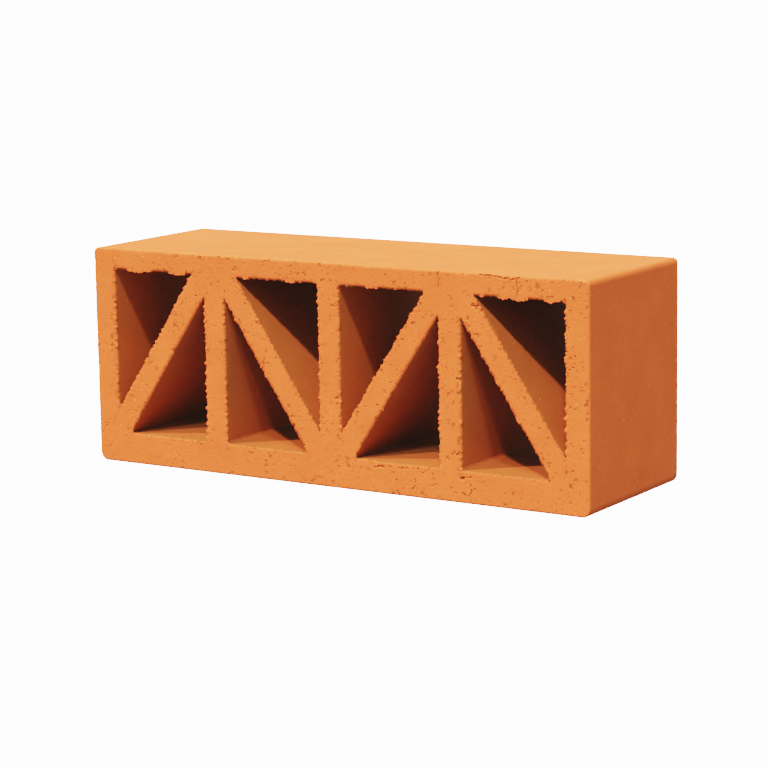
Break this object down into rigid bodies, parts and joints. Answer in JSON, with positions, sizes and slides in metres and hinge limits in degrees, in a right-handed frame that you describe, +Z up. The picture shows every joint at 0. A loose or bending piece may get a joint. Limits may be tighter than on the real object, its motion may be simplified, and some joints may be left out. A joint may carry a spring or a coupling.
{
  "type": "perforated clay screen brick",
  "caption": "Hollow fired-clay screen brick: a long block with triangular cells running through it between upright and diagonal webs, laid in mortar to make open masonry screens.",
  "frame": {"origin": "middle of the bottom bed face, on the surface the brick stands on", "axes": "+X along the brick's length, +Y through it along the cells, +Z up from bed to bed"},
  "size_m": [0.3, 0.095, 0.116],
  "materials": {
    "fired_clay": "unglazed, matt and sandy on the wire-cut faces, smoother on the extruded ones"
  },
  "bodies": {
    "root": {"brick": "fired_clay"}
  },
  "joints": []
}
